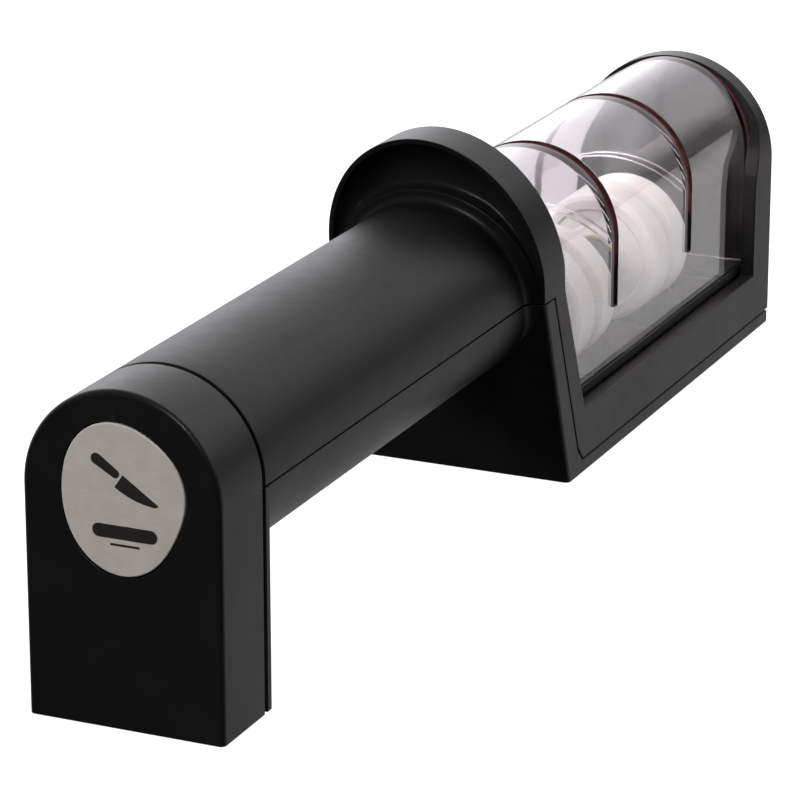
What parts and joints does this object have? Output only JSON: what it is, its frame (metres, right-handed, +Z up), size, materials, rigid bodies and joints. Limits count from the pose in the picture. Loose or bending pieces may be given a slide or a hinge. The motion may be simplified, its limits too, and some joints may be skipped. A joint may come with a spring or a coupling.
{
  "type": "pull-through knife sharpener",
  "caption": "Bench-top two-stage knife sharpener: round handle on a foot, hooded head, and ceramic wheels under a clear slotted cover.",
  "frame": {"origin": "middle of the tool's length and width, on the table it stands on", "axes": "+Y along the handle from the foot to the sharpening head, +X to the right seen from the foot, +Z up"},
  "size_m": [0.0426, 0.25, 0.0696],
  "materials": {
    "shell": "fine-textured satin black",
    "badge_steel": "fine brushed",
    "foam_tape": "matt",
    "clear_plastic": "polished clear polycarbonate",
    "seal_rubber": "matt black",
    "cassette_plastic": "satin dark nylon",
    "steel": "turned bright",
    "wheel_ceramic": "matt fine-grained ceramic",
    "brass": "turned",
    "spacer_plastic": "satin",
    "pad_rubber": "matt"
  },
  "bodies": {
    "housing": {"upper_shell": "shell", "lower_shell": "shell", "foot_cap": "shell", "badge": "badge_steel", "badge_adhesive": "foam_tape", "cover_seal": "seal_rubber", "wheel_cassette": "cassette_plastic", "wheel_axle": "steel", "axle_washers": "steel", "axle_spacers": "spacer_plastic", "axle_clips": "steel", "cassette_screws": "steel", "shell_screws": "steel", "foot_cap_screws": "steel", "head_pad_front": "pad_rubber", "head_pad_rear": "pad_rubber", "foot_pad": "pad_rubber"},
    "cover": {"clear_cover": "clear_plastic"},
    "coarse_front": {"coarse_wheel_front": "wheel_ceramic", "coarse_bush_front": "brass"},
    "coarse_rear": {"coarse_wheel_rear": "wheel_ceramic", "coarse_bush_rear": "brass"},
    "fine_front": {"fine_wheel_front": "wheel_ceramic", "fine_bush_front": "brass"},
    "fine_rear": {"fine_wheel_rear": "wheel_ceramic", "fine_bush_rear": "brass"}
  },
  "joints": [
    {"name": "coarse_front_spin", "type": "hinge", "parent": "housing", "child": "coarse_front", "pos_m": [0, 0.0436, 0.0245], "axis": [0, 1, 0], "continuous": true},
    {"name": "coarse_rear_spin", "type": "hinge", "parent": "housing", "child": "coarse_rear", "pos_m": [0, 0.0436, 0.0245], "axis": [0, 1, 0], "continuous": true},
    {"name": "fine_front_spin", "type": "hinge", "parent": "housing", "child": "fine_front", "pos_m": [0, 0.0843, 0.0245], "axis": [0, 1, 0], "continuous": true},
    {"name": "fine_rear_spin", "type": "hinge", "parent": "housing", "child": "fine_rear", "pos_m": [0, 0.0843, 0.0245], "axis": [0, 1, 0], "continuous": true},
    {"name": "cover_lift", "type": "slide", "parent": "housing", "child": "cover", "axis": [0, 0, 1], "range_m": [0, 0.045]}
  ]
}
